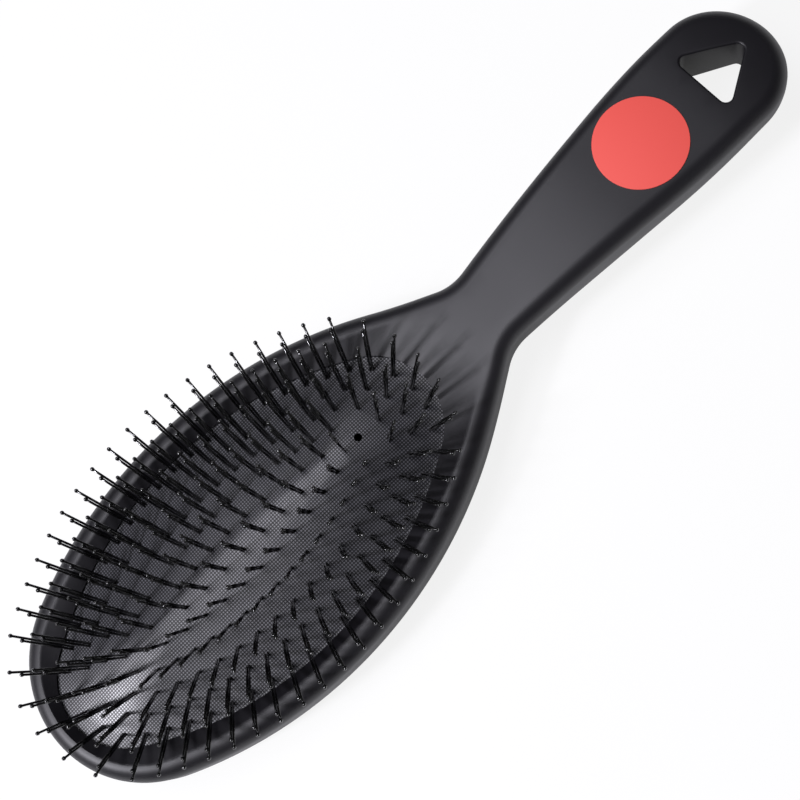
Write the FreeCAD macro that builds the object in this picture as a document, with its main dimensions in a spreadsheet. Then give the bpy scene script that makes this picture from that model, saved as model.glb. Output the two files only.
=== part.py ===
import FreeCAD, Part
import math
import os

# Cushion brush for detangling hair, in millimetres.
# X runs from the head to the handle, Y to the left and Z up, the way the pins point.
# The brush lies on its back, and the origin is on the flat of the back under the cushion's middle.

doc = FreeCAD.newDocument("detangling_brush")
sheet = doc.addObject("Spreadsheet::Sheet", "sizes")

SIZES = (
    # handle and head, one moulding, seen from above
    ("head_reach", 62.3, "cushion middle to head end"),
    ("head_half_width", 35.65, "half the width of the head"),
    ("head_end_radius", 28.4, "round of the head end"),
    ("neck_reach", 75.5, "cushion middle to the corner where the neck is thinnest"),
    ("neck_half_width", 9.55, "half the width at that corner"),
    ("neck_radius", 12, "hollow round of the neck"),
    ("flank_length", 20.6, "straight stretch from the shoulder to the neck"),
    ("grip_half_width", 15.2, "half the width of the handle where it is widest"),
    ("grip_setback", 21.8, "handle end back to where the handle is widest"),
    ("bulge_setback", 43.1, "handle end back to where the handle's bulge starts"),
    ("handle_reach", 166.2, "cushion middle to handle end"),
    # handle and head, seen from the side
    ("head_thickness", 16, "flat of the back to the crest of the rim"),
    ("rise_reach", 58, "cushion middle to where the front starts to rise"),
    ("rise_radius", 38.8, "round of that rise"),
    ("rise_angle", 15.4, "slope at its steepest, degrees"),
    ("level_length", 23.9585, "level stretch of the front, where the label lies"),
    ("drop_setback", 27.2, "handle end back to where the front starts to fall"),
    ("drop_radius", 100, "round of that fall"),
    ("lift_reach", 58, "cushion middle to where the back leaves the table"),
    ("lift_radius", 31, "round of that bend"),
    ("lift_angle", 18.15, "slope of the back at its steepest, degrees"),
    ("ease_radius", 105.6, "round with which the back flattens out"),
    ("grip_angle", 2.6, "slope of the back under the grip, degrees"),
    ("crest_radius", 3.7, "round of the front edge"),
    ("back_radius", 7, "round of the back edge"),
    # mouth and pocket for the cushion
    ("mouth_half_length", 56.5, "half the length of the lip's opening"),
    ("mouth_half_width", 28.3, "half the width of the lip's opening"),
    ("dish_reach", 58.4, "cushion middle to the crest of the rim at the head end"),
    ("dish_half_width", 30.9, "half the width between the crests at the sides"),
    ("dish_end_radius", 24.3, "round of the crest at the head end"),
    ("dish_nose_reach", 63, "cushion middle to the end of the dished front, towards the neck"),
    ("dish_nose_radius", 20, "round of that end"),
    ("dish_depth", 2, "crest of the rim down to the lip"),
    ("lip_thickness", 0.7, "lip over the cushion's bead"),
    ("ledge_width", 1.1, "ledge under the bead, inside the lip's edge"),
    ("pocket_floor", 4.5, "height of the pocket's floor above the back"),
    # hanging hole in the handle
    ("hang_base_setback", 20.6, "handle end back to the triangle's base"),
    ("hang_height", 14.4, "height of the triangle, corner to base"),
    ("hang_base_width", 17.5, "length of the triangle's base"),
    ("hang_corner_radius", 1.6, "round of its corners"),
    ("hang_edge_bevel", 0.6, "bevel of its front and back edges"),
    # rubber cushion
    ("rubber_thickness", 1.5, "wall of the cushion"),
    ("bead_width", 1.5, "reach of the bead beyond the lip's edge"),
    ("bead_play", 0.3, "gap from the bead to the groove's wall"),
    ("cushion_play", 0.25, "gap from the cushion to the lip's edge"),
    ("crown_height", 4.2, "bead to the top of the crown"),
    ("crown_half_width", 2.4, "half the width of the flat on top of the crown"),
    ("crown_half_length", 26, "half the length of the flat on top of the crown"),
    ("vent_reach", 36.2, "cushion middle to the vent"),
    ("vent_radius", 0.95, "radius of the vent"),
    # double pins: two ball-tipped legs on one root
    ("outer_ring_half_length", 52.5, "half the length of the outer ring of pins"),
    ("outer_ring_half_width", 26.1, "half the width of the outer ring of pins"),
    ("ring_pitch", 5.15, "step from one ring of pins to the next"),
    ("centre_line_half_length", 18.5, "half the length of the line of pins in the middle"),
    ("long_leg", 17.2, "long leg above the rubber"),
    ("short_leg", 14.0, "short leg above the rubber"),
    ("leg_thickness", 0.64, "leg at its root"),
    ("neck_thickness", 0.5, "leg under its ball"),
    ("ball_width", 1.0, "ball tip across"),
    ("ball_length", 1.1, "ball tip along the leg"),
    ("leg_spread", 0.14, "how far each leg leans away from the other at its tip"),
    ("root_rise", 0.4, "root above the rubber"),
    ("root_depth", 3.0, "root below the rubber's face"),
    ("pin_play", 0.12, "gap from a root to its hole"),
    ("side_tilt", 40.2, "lean of the outermost pins at the sides, degrees"),
    ("end_tilt", 22.2, "lean of the outermost pins at the ends, degrees"),
    # label on the handle
    ("label_setback", 39.4, "handle end back to the label's middle"),
    ("label_radius", 10.8, "radius of the label"),
    ("label_thickness", 0.25, "thickness of the label"),
    # working value
    ("overrun", 2, "how far a cut runs past the face it starts from"),
)

# One row for each ring of double pins, from the centre line outwards:
# its number of pins, and whether it starts half a step round.
RING_COUNTS = (7, 24, 34, 36, 44, 48)
RING_HALF_STEPS = (0, 0, 0.5, 0, 0.5, 0)

# Share of the crown's height at the flat on top, between one ring and the next, and at the edge.
DOME_HEIGHT_SHARES = (1.0, 0.835, 0.655, 0.435, 0.185, 0.0)

# Share of an oval's half width that its end radius takes: for the cushion, and for each ring of pins.
END_ROUND_SHARE = 0.6
RING_ROUND_SHARES = (0.0, 0.3, 0.5, 0.6, 0.6, 0.6)

# Flat faces that the cushion's dome has along each arc of its ovals, from the head end round.
FACETS_PER_ARC = (7, 4, 4, 7, 4, 4)

# The outer edges are rounded by two passes of bevels, whose widths are shares of the round's radius.
# Each pass takes the edges at which the surface turns by an angle between two limits, in degrees.
BEVEL_SHARES = (0.6, 0.22)
BEVEL_TURNS = ((70, 110), (30, 60))

for row, (alias, value, note) in enumerate(SIZES, start=1):
    sheet.set("A%d" % row, note)
    sheet.set("B%d" % row, str(value))
    sheet.setAlias("B%d" % row, alias)
doc.recompute()


def size(alias):
    """The value that the sheet holds for a named size."""
    return float(sheet.get(alias))


def vec(x, y, z=0.0):
    """A point or direction."""
    return FreeCAD.Vector(x, y, z)


def arc(first, middle, last):
    """An arc through three points."""
    return Part.Arc(first, middle, last).toShape()


def line(first, last):
    """A straight edge."""
    return Part.LineSegment(first, last).toShape()


def on_circle(centre, radius, angle):
    """The point of a circle at an angle from +X, in radians."""
    return vec(centre.x + radius * math.cos(angle), centre.y + radius * math.sin(angle), centre.z)


def quarter_arcs(reach, half_width, end_radius):
    """Centres, radii and joint of the two arcs that make a quarter of an oval."""
    side_radius = (reach - end_radius) ** 2 + half_width ** 2 - end_radius ** 2
    side_radius = side_radius / (2 * (half_width - end_radius))
    end_centre = vec(reach - end_radius, 0)
    side_centre = vec(0, half_width - side_radius)
    joint_angle = math.atan2(end_centre.y - side_centre.y, end_centre.x - side_centre.x)
    return end_centre, side_centre, side_radius, joint_angle


def mirrored(point, flip_x, flip_y, height):
    """A point of the first quarter taken to one of the four quarters."""
    return vec(flip_x * point.x, flip_y * point.y, height)


def oval(head_reach, handle_reach, half_width, head_radius, handle_radius, height):
    """A closed curve of six tangent arcs, which may be longer on the handle side than on the head side."""
    points = {}
    for flip_x, reach, end_radius in ((-1, head_reach, head_radius), (1, handle_reach, handle_radius)):
        end_centre, side_centre, side_radius, joint_angle = quarter_arcs(reach, half_width, end_radius)
        joint = on_circle(end_centre, end_radius, joint_angle)
        side_middle = on_circle(side_centre, side_radius, (joint_angle + math.pi / 2) / 2)
        for flip_y in (-1, 1):
            points[flip_x, flip_y, "joint"] = mirrored(joint, flip_x, flip_y, height)
            points[flip_x, flip_y, "side"] = mirrored(side_middle, flip_x, flip_y, height)
        points[flip_x, "end"] = vec(flip_x * reach, 0, height)
    left = vec(0, half_width, height)
    right = vec(0, -half_width, height)
    edges = [
        arc(points[-1, 1, "joint"], points[-1, "end"], points[-1, -1, "joint"]),
        arc(points[-1, -1, "joint"], points[-1, -1, "side"], right),
        arc(right, points[1, -1, "side"], points[1, -1, "joint"]),
        arc(points[1, -1, "joint"], points[1, "end"], points[1, 1, "joint"]),
        arc(points[1, 1, "joint"], points[1, 1, "side"], left),
        arc(left, points[-1, 1, "side"], points[-1, 1, "joint"]),
    ]
    return Part.Wire(edges)


def even_oval(half_length, half_width, height):
    """An oval that is alike at both ends."""
    end_radius = half_width * END_ROUND_SHARE
    return oval(half_length, half_length, half_width, end_radius, end_radius, height)


def flat_points(curve):
    """Corners of the straight edges that stand for a curve of six arcs, so that the dome has flat faces."""
    points = []
    for edge, pieces in zip(curve.Edges, FACETS_PER_ARC):
        points += edge.discretize(pieces + 1)[:-1]
    return points


def polygon(points):
    """A flat face with straight edges."""
    return Part.Face(Part.makePolygon(points + points[:1]))


def solid_of(faces):
    """A solid closed by flat faces."""
    solid = Part.Solid(Part.makeShell(faces))
    if solid.Volume < 0:
        solid.reverse()
    return solid


def feature(name, shape):
    """A document object that holds a shape made by the functions here."""
    made = doc.addObject("Part::Feature", name)
    made.Shape = shape
    made.Placement = FreeCAD.Placement()
    return made


def extrusion(name, base, direction, forward, backward="0"):
    """A face pushed along a direction by lengths that the sheet holds."""
    made = doc.addObject("Part::Extrusion", name)
    made.Base = base
    made.DirMode = "Custom"
    made.Dir = direction
    made.Solid = True
    made.setExpression("LengthFwd", forward)
    made.setExpression("LengthRev", backward)
    return made


def boolean(kind, name, base, tool):
    """A cut or a common of two document objects."""
    made = doc.addObject("Part::" + kind, name)
    made.Base = base
    made.Tool = tool
    return made


def straight_then_round(width_change, length, straight):
    """Slope and radius of a line and an arc that leave a corner and end level."""
    slope = 2 * math.atan(width_change / (length + straight))
    radius = (length - straight * math.cos(slope)) / math.sin(slope)
    return slope, radius


def plan_half():
    """Left half of the outline seen from above, from the head end to the handle end."""
    half_width = size("head_half_width")
    end_radius = size("head_end_radius")
    reach = size("head_reach")
    end_centre, side_centre, side_radius, joint_angle = quarter_arcs(reach, half_width, end_radius)
    joint = mirrored(on_circle(end_centre, end_radius, joint_angle), -1, 1, 0)
    end_middle = mirrored(on_circle(end_centre, end_radius, joint_angle / 2), -1, 1, 0)
    side_middle = mirrored(on_circle(side_centre, side_radius, (joint_angle + math.pi / 2) / 2), -1, 1, 0)
    widest = vec(0, half_width)
    corner = vec(size("neck_reach"), size("neck_half_width"))

    fall, shoulder_radius = straight_then_round(half_width - corner.y, corner.x, size("flank_length"))
    shoulder_centre = vec(0, half_width - shoulder_radius)
    flank_start = on_circle(shoulder_centre, shoulder_radius, math.pi / 2 - fall)
    shoulder_middle = on_circle(shoulder_centre, shoulder_radius, math.pi / 2 - fall / 2)

    peak = vec(size("handle_reach") - size("grip_setback"), size("grip_half_width"))
    flare_length = size("handle_reach") - corner.x - size("bulge_setback")
    flare, bulge_radius = straight_then_round(peak.y - corner.y, peak.x - corner.x, flare_length)
    bulge_centre = vec(peak.x, peak.y - bulge_radius)
    bulge_start = on_circle(bulge_centre, bulge_radius, math.pi / 2 + flare)
    bulge_middle = on_circle(bulge_centre, bulge_radius, math.pi / 2 + flare / 2)

    neck_radius = size("neck_radius")
    tangent = neck_radius * math.tan((fall + flare) / 2)
    neck_start = corner + vec(-math.cos(fall), math.sin(fall)) * tangent
    neck_end = corner + vec(math.cos(flare), math.sin(flare)) * tangent
    neck_centre = neck_start + vec(math.sin(fall), math.cos(fall)) * neck_radius
    neck_middle = on_circle(neck_centre, neck_radius, -math.pi / 2 + (flare - fall) / 2)

    end_start = vec(size("handle_reach") - peak.y, peak.y)
    edges = [
        arc(vec(-reach, 0), end_middle, joint),
        arc(joint, side_middle, widest),
        arc(widest, shoulder_middle, flank_start),
        line(flank_start, neck_start),
        arc(neck_start, neck_middle, neck_end),
        line(neck_end, bulge_start),
        arc(bulge_start, bulge_middle, peak),
        line(peak, end_start),
    ]
    return edges, end_start


def plan_face():
    """The outline of the moulding seen from above, as a face on the table."""
    left, end_start = plan_half()
    right = [edge.mirror(vec(0, 0), vec(0, 1)) for edge in left]
    tip = vec(size("handle_reach"), 0)
    cap = arc(end_start, tip, vec(end_start.x, -end_start.y))
    edges = Part.sortEdges(left + [cap] + right)[0]
    return Part.Face(Part.Wire(edges))


def above(point, angle, length):
    """A point at a length from another one, square to a slope in the middle plane."""
    return point + vec(-math.sin(angle), 0, math.cos(angle)) * length


def turn(point, slope, change, radius):
    """Middle and end of an arc that leaves a point at a slope and changes it, upwards where above zero."""
    reach = math.copysign(radius, change)
    centre = above(point, slope, reach)
    return above(centre, slope + change / 2, -reach), above(centre, slope + change, -reach)


def front_points():
    """Points of the front seen from the side: level, up, level again for the label, then falling."""
    angle = math.radians(size("rise_angle"))
    start = vec(size("rise_reach"), 0, size("head_thickness"))
    rise_middle, steepest = turn(start, 0, angle, size("rise_radius"))
    drop_reach = size("handle_reach") - size("drop_setback")
    settle_radius = (drop_reach - size("level_length") - steepest.x) / math.sin(angle)
    settle_middle, settled = turn(steepest, angle, -angle, settle_radius)
    drop = vec(drop_reach, 0, settled.z)
    far = size("handle_reach") + size("overrun")
    fall = math.asin((far - drop.x) / size("drop_radius"))
    drop_middle, last = turn(drop, 0, -fall, size("drop_radius"))
    return start, rise_middle, steepest, settle_middle, settled, drop, drop_middle, last


def back_points():
    """Points of the back seen from the side: level, up, less steep, then straight on."""
    angle = math.radians(size("lift_angle"))
    slope = math.radians(size("grip_angle"))
    start = vec(size("lift_reach"), 0, 0)
    lift_middle, steepest = turn(start, 0, angle, size("lift_radius"))
    ease_middle, eased = turn(steepest, angle, slope - angle, size("ease_radius"))
    run = size("handle_reach") + size("overrun") - eased.x
    return start, lift_middle, steepest, ease_middle, eased, eased + vec(run, 0, run * math.tan(slope))


def side_face():
    """The outline of the moulding seen from the side, as a face in the middle plane."""
    front = front_points()
    back = back_points()
    near = -size("head_reach") - size("overrun")
    edges = [
        line(vec(near, 0, 0), back[0]),
        arc(back[0], back[1], back[2]),
        arc(back[2], back[3], back[4]),
        line(back[4], back[5]),
        line(back[5], front[7]),
        arc(front[7], front[6], front[5]),
        line(front[5], front[4]),
        arc(front[4], front[3], front[2]),
        arc(front[2], front[1], front[0]),
        line(front[0], vec(near, 0, size("head_thickness"))),
        line(vec(near, 0, size("head_thickness")), vec(near, 0, 0)),
    ]
    return Part.Face(Part.Wire(edges))


def edge_middle(edge):
    """The point halfway along an edge."""
    return edge.valueAt((edge.FirstParameter + edge.LastParameter) / 2)


def face_normals(shape, edge):
    """The outward directions of the faces that meet at the middle of an edge."""
    middle = edge_middle(edge)
    normals = []
    for face in shape.ancestorsOfType(edge, Part.Face):
        across, along = face.Surface.parameter(middle)
        normals.append(face.normalAt(across, along))
    return normals


def bevel(name, base, share, least_turn, most_turn):
    """One pass of bevels along the edges between the moulding's walls and its front and back."""
    chosen = []
    for number, edge in enumerate(base.Shape.Edges, start=1):
        normals = face_normals(base.Shape, edge)
        if len(normals) != 2:
            continue
        if least_turn < math.degrees(normals[0].getAngle(normals[1])) < most_turn:
            front = (normals[0] + normals[1]).z > 0
            width = size("crest_radius" if front else "back_radius") * share
            chosen.append((number, width, width))
    made = doc.addObject("Part::Chamfer", name)
    made.Base = base
    made.Edges = chosen
    doc.recompute()
    return made


def lip_top():
    """Height of the lip's upper edge."""
    return size("head_thickness") - size("dish_depth")


def bead_top():
    """Height of the lip's underside, where the cushion's bead lies."""
    return lip_top() - size("lip_thickness")


def bead_bottom():
    """Height of the ledge that the bead rests on."""
    return bead_top() - size("rubber_thickness")


def grown_mouth(growth, height):
    """The lip's opening, grown or shrunk all round, at a height."""
    return even_oval(size("mouth_half_length") + growth, size("mouth_half_width") + growth, height)


def oval_slab(name, growth, top, depth):
    """A solid with the lip's oval, grown or shrunk all round, down from a height by a length of the sheet."""
    face = Part.Face(grown_mouth(growth, top))
    return extrusion(name, feature(name + "_oval", face), vec(0, 0, -1), depth)


def crest_oval(height):
    """The crest of the rim round the dished front."""
    reach = size("dish_reach")
    end_radius = size("dish_end_radius")
    nose_radius = size("dish_nose_radius")
    return oval(reach, size("dish_nose_reach"), size("dish_half_width"), end_radius, nose_radius, height)


def make_cuts():
    """What is cut from the head: the dished front, the mouth, the bead's groove and the pocket."""
    dish = doc.addObject("Part::Loft", "dished_front")
    crest = size("head_thickness")
    dish.Sections = [
        feature("lip_oval", grown_mouth(0, lip_top())),
        feature("crest_oval", crest_oval(crest)),
        feature("above_crest_oval", crest_oval(crest + size("overrun"))),
    ]
    dish.Solid = True
    dish.Ruled = True
    mouth = oval_slab("mouth", 0, lip_top(), "sizes.lip_thickness")
    groove = oval_slab("bead_groove", size("bead_width") + size("bead_play"), bead_top(), "sizes.rubber_thickness")
    pocket_depth = "sizes.head_thickness - sizes.dish_depth - sizes.lip_thickness - sizes.pocket_floor"
    pocket = oval_slab("pocket", -size("ledge_width"), bead_top(), pocket_depth)
    return [dish, mouth, groove, pocket]


def hang_triangle():
    """The hanging hole's outline with rounded corners, on the table, pointing at the handle's end."""
    base = size("handle_reach") - size("hang_base_setback")
    half = size("hang_base_width") / 2
    radius = size("hang_corner_radius")
    corners = [vec(base, -half), vec(base + size("hang_height"), 0), vec(base, half)]
    starts = []
    edges = []
    for number, corner in enumerate(corners):
        back = (corners[number - 1] - corner).normalize()
        ahead = (corners[(number + 1) % 3] - corner).normalize()
        half_angle = back.getAngle(ahead) / 2
        inward = (back + ahead).normalize()
        centre = corner + inward * (radius / math.sin(half_angle))
        tangent = radius / math.tan(half_angle)
        first = corner + back * tangent
        last = corner + ahead * tangent
        starts.append(first)
        edges.append((first, centre - inward * radius, last))
    wire = []
    for number, (first, middle, last) in enumerate(edges):
        wire.append(arc(first, middle, last))
        wire.append(line(last, starts[(number + 1) % 3]))
    return Part.Face(Part.Wire(wire))


def hang_edges(shape):
    """Numbers and bevels of the hanging hole's front and back edges."""
    base = size("handle_reach") - size("hang_base_setback")
    centre = vec(base + size("hang_height") / 3, 0)
    reach = size("hang_height") * 2 / 3
    width = size("hang_edge_bevel")
    chosen = []
    for number, edge in enumerate(shape.Edges, start=1):
        turns = [abs(normal.z) for normal in face_normals(shape, edge)]
        middle = edge_middle(edge)
        inside = math.hypot(middle.x - centre.x, middle.y) < reach
        if inside and min(turns) < math.sin(math.pi / 4) < max(turns):
            chosen.append((number, width, width))
    return chosen


def make_moulding():
    """The handle and head, with the mouth, pocket and groove for the cushion and the hanging hole."""
    plan = feature("plan_outline", plan_face())
    prism = extrusion("plan_prism", plan, vec(0, 0, 1), "sizes.head_thickness * 2")
    side = feature("side_outline", side_face())
    slab = extrusion("side_slab", side, vec(0, 1, 0), "sizes.head_half_width * 2", "sizes.head_half_width * 2")
    blank = boolean("Common", "blank", prism, slab)
    doc.recompute()
    for number, (share, turns) in enumerate(zip(BEVEL_SHARES, BEVEL_TURNS), start=1):
        blank = bevel("bevel_%d" % number, blank, share, turns[0], turns[1])
    cuts = doc.addObject("Part::MultiFuse", "head_cuts")
    cuts.Shapes = make_cuts()
    hollowed = boolean("Cut", "hollowed_head", blank, cuts)
    triangle = feature("hang_triangle", hang_triangle())
    hole = extrusion("hang_hole", triangle, vec(0, 0, 1), "sizes.head_thickness * 2")
    pierced = boolean("Cut", "pierced_handle", hollowed, hole)
    doc.recompute()
    finished = doc.addObject("Part::Chamfer", "handle_body")
    finished.Base = pierced
    finished.Edges = hang_edges(pierced.Shape)
    return finished


def ring_reach(ring):
    """Half the length and half the width of a ring of pins."""
    inset = size("ring_pitch") * (len(RING_COUNTS) - 1 - ring)
    return size("outer_ring_half_length") - inset, size("outer_ring_half_width") - inset


def rubber_height(ring):
    """Height of the rubber's face along a ring of pins."""
    share = (DOME_HEIGHT_SHARES[max(ring - 1, 0)] + DOME_HEIGHT_SHARES[ring]) / 2
    return bead_top() + size("crown_height") * share


def dome_curves():
    """The cushion's ovals, from the flat on top of the crown to the edge."""
    heights = [bead_top() + size("crown_height") * share for share in DOME_HEIGHT_SHARES]
    curves = [even_oval(size("crown_half_length"), size("crown_half_width"), heights[0])]
    for ring in range(1, len(RING_COUNTS) - 1):
        half_length, half_width = ring_reach(ring)
        growth = size("ring_pitch") / 2
        curves.append(even_oval(half_length + growth, half_width + growth, heights[ring]))
    curves.append(grown_mouth(-size("cushion_play"), heights[-1]))
    return curves


def dome(name, curves, drop):
    """A crowned solid of flat faces through some of the cushion's ovals, lowered by a distance."""
    rows = [flat_points(curve) for curve in curves]
    faces = [polygon(rows[0]), polygon(rows[-1])]
    for upper, lower in zip(rows, rows[1:]):
        for number in range(len(upper)):
            before = number - 1
            faces.append(polygon([upper[before], lower[before], lower[number]]))
            faces.append(polygon([upper[before], lower[number], upper[number]]))
    made = feature(name, solid_of(faces))
    made.Placement.Base = vec(0, 0, -drop)
    return made


def ring_point(ring, share):
    """Point and outward direction at a share of the way round a ring, from the left side by the head."""
    half_length, half_width = ring_reach(ring)
    end_radius = half_width * RING_ROUND_SHARES[ring]
    end_centre, side_centre, side_radius, joint_angle = quarter_arcs(half_length, half_width, end_radius)
    side_length = (math.pi / 2 - joint_angle) * side_radius
    quarter_length = side_length + joint_angle * end_radius
    quarter, along = divmod(share * 4, 1)
    run = quarter_length * (along if quarter % 2 == 0 else 1 - along)
    if run < side_length:
        centre, radius, angle = side_centre, side_radius, math.pi / 2 - run / side_radius
    else:
        centre, radius, angle = end_centre, end_radius, joint_angle - (run - side_length) / end_radius
    flip_x = -1 if quarter < 2 else 1
    flip_y = -1 if quarter in (1, 2) else 1
    point = mirrored(on_circle(centre, radius, angle), flip_x, flip_y, 0)
    return point, vec(flip_x * math.cos(angle), flip_y * math.sin(angle))


def pin_seats(ring):
    """Origin and axes of each double pin of a ring: up its legs, outwards, and from short leg to long leg.

    The vent takes the place of one pin.
    """
    count = RING_COUNTS[ring]
    lean_share = ring / (len(RING_COUNTS) - 1)
    seats = []
    for number in range(count):
        if ring == 0:
            reach = size("centre_line_half_length")
            point = vec(-reach + 2 * reach * number / (count - 1), 0)
            outward = vec(0, 1)
        else:
            point, outward = ring_point(ring, (number + RING_HALF_STEPS[ring]) / count)
        if math.hypot(point.x - size("vent_reach"), point.y) < size("ring_pitch") / 2:
            continue
        lean = size("side_tilt") * outward.y ** 2 + size("end_tilt") * outward.x ** 2
        lean = math.radians(lean * lean_share)
        up = outward * math.sin(lean) + vec(0, 0, math.cos(lean))
        across = outward * math.cos(lean) - vec(0, 0, math.sin(lean))
        along = vec(abs(outward.y), -outward.x * math.copysign(1, outward.y))
        seats.append((point + vec(0, 0, rubber_height(ring)), up, across, along))
    return seats


def at(seat, rise, out, shift):
    """A point of a double pin: up its axis, outwards, and from the short leg towards the long leg."""
    origin, up, across, along = seat
    return origin + up * rise + across * out + along * shift


def tip_faces(seat, length, side):
    """The ball tip of one leg, and the two ends of the edges where the leg meets it."""
    thick = size("leg_thickness") / 2
    spread = size("leg_spread") / length
    half_neck = size("neck_thickness") / 2
    half_ball = size("ball_width") / 2
    under = length - size("ball_length")
    widest = length - size("ball_length") / 2
    under_middle = side * (thick + spread * under)
    widest_middle = side * (thick + spread * widest)
    corners = ((-1, -1), (1, -1), (1, 1), (-1, 1))
    neck = [at(seat, under, thick * a, under_middle + half_neck * b) for a, b in corners]
    ball = [at(seat, widest, half_ball * a, widest_middle + half_ball * b) for a, b in corners]
    tip = at(seat, length, 0, side * (thick + spread * length))
    faces = []
    for number in range(4):
        after = (number + 1) % 4
        faces.append(polygon([neck[number], neck[after], ball[after], ball[number]]))
        faces.append(polygon([ball[number], ball[after], tip]))
    return faces, under, under_middle - half_neck, under_middle + half_neck


def double_pin(seat):
    """One double pin: a flat root with two ball-tipped legs side by side."""
    thick = size("leg_thickness")
    short_tip, short_rise, short_low, short_high = tip_faces(seat, size("short_leg"), -1)
    long_tip, long_rise, long_low, long_high = tip_faces(seat, size("long_leg"), 1)
    profile = (
        (-size("root_depth"), -thick),
        (-size("root_depth"), thick),
        (long_rise, long_high),
        (long_rise, long_low),
        (size("root_rise"), 0),
        (short_rise, short_high),
        (short_rise, short_low),
    )
    ends = (profile.index((long_rise, long_high)), profile.index((short_rise, short_high)))
    inner = [at(seat, rise, -thick / 2, shift) for rise, shift in profile]
    outer = [at(seat, rise, thick / 2, shift) for rise, shift in profile]
    faces = short_tip + long_tip + [polygon(inner), polygon(outer)]
    for number in range(len(profile)):
        after = (number + 1) % len(profile)
        if number not in ends:
            faces.append(polygon([inner[number], inner[after], outer[after], outer[number]]))
    return solid_of(faces)


def pin_slot(seat):
    """What is cut from the rubber for one root."""
    half_out = size("leg_thickness") / 2 + size("pin_play")
    half_along = size("leg_thickness") + size("pin_play")
    top = size("overrun")
    bottom = -size("overrun") - size("rubber_thickness")
    corners = [at(seat, top, half_out * a, half_along * b) for a, b in ((-1, -1), (1, -1), (1, 1), (-1, 1))]
    return polygon(corners).extrude(seat[1] * (bottom - top))


def make_cushion(rings):
    """The rubber cushion with its bead, its slots for the pins and its vent."""
    curves = dome_curves()
    underside = [curves[0], curves[len(curves) // 2], curves[-1]]
    bead = oval_slab("bead", size("bead_width"), bead_top(), "sizes.rubber_thickness")
    outside = boolean("Fuse", "cushion_outside", dome("outer_dome", curves, 0), bead)
    slots = feature("pin_slots", Part.Compound([pin_slot(seat) for seats in rings for seat in seats]))
    vent = doc.addObject("Part::Cylinder", "vent")
    vent.setExpression("Radius", "sizes.vent_radius")
    vent.setExpression("Height", "sizes.head_thickness")
    vent.Placement.Base = vec(size("vent_reach"), 0, bead_bottom())
    inside = dome("inner_dome", underside, size("rubber_thickness"))
    shell = boolean("Cut", "cushion_shell", outside, inside)
    vented = boolean("Cut", "vented_shell", shell, vent)
    return boolean("Cut", "cushion", vented, slots)


def make_label():
    """The round label, on the level stretch of the handle's front."""
    made = doc.addObject("Part::Cylinder", "label_disc")
    made.setExpression("Radius", "sizes.label_radius")
    made.setExpression("Height", "sizes.label_thickness")
    made.Placement.Base = vec(size("handle_reach") - size("label_setback"), 0, front_points()[4].z)
    return made


rings = [pin_seats(ring) for ring in range(len(RING_COUNTS))]
parts = [make_moulding(), make_cushion(rings), make_label()]
for ring, seats in enumerate(rings):
    parts.append(feature("pins_ring_%d" % ring, Part.Compound([double_pin(seat) for seat in seats])))
doc.recompute()

for item in doc.Objects:
    if "Invalid" in item.State or "Error" in item.State:
        raise RuntimeError("%s did not recompute" % item.Name)
os.makedirs("parts", exist_ok=True)
for item in parts:
    item.Label = item.Name
    if item.Shape.isNull() or not item.Shape.isValid() or item.Shape.Volume <= 0:
        raise RuntimeError("%s has no valid shape" % item.Name)
    item.Shape.exportStep("parts/%s.step" % item.Name)
    print(item.Name, len(item.Shape.Solids), "solids,", round(item.Shape.Volume, 2), "mm3")
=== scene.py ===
# %% [markdown]
# A cushion brush for detangling hair. A soft-touch handle and head in one moulding hold a crowned rubber
# cushion, and 192 double pins with ball tips stand in it. The frame from the CAD part is the ruler: every
# piece below is built in millimetres, turned into metres in one place, and laid over its CAD node.

# %% Tools and frame
import math

import bmesh
import bpy
import numpy as np
from mathutils import Matrix, Vector
from mathutils.geometry import delaunay_2d_cdt


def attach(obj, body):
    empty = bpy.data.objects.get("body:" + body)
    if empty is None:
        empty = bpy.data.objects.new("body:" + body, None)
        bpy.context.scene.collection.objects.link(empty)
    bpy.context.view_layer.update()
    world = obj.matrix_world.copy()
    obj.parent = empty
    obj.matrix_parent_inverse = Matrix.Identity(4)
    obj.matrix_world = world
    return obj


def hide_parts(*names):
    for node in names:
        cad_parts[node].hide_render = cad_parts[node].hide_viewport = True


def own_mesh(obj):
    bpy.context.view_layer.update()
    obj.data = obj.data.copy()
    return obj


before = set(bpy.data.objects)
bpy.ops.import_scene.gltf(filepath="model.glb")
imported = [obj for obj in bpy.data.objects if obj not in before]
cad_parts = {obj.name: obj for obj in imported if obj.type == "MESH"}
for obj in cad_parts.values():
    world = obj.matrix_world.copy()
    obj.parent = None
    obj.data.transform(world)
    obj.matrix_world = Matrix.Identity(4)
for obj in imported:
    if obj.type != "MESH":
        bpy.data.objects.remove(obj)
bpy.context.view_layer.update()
MM = 0.001

# %% [markdown]
# All the curves of this brush are arcs, some of them joined by straight lines. A path is therefore kept as two
# arrays: its points, and the direction that faces outwards at each point. With the direction at hand, a
# path can be moved inwards by any distance, which is how the rounded edges are made later.


# %% Arcs and straight lines as points with outward directions
def arc(centre, radius, start, end, steps, hollow=False):
    """Points of an arc between two angles, without the last one, and the directions that face outwards."""
    angles = np.linspace(start, end, steps + 1)[:-1]
    rays = np.column_stack([np.cos(angles), np.sin(angles)])
    return np.array(centre) + radius * rays, -rays if hollow else rays


def straight(first, last, steps):
    """Points of a straight line, without the last one, with the outside on the left of its run."""
    first, last = np.array(first, float), np.array(last, float)
    run = (last - first) / np.linalg.norm(last - first)
    shares = np.linspace(0, 1, steps + 1)[:-1, None]
    return first + shares * (last - first), np.tile([-run[1], run[0]], (steps, 1))


def joined(*stretches):
    """Several stretches as one path."""
    return np.vstack([s[0] for s in stretches]), np.vstack([s[1] for s in stretches])


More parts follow.
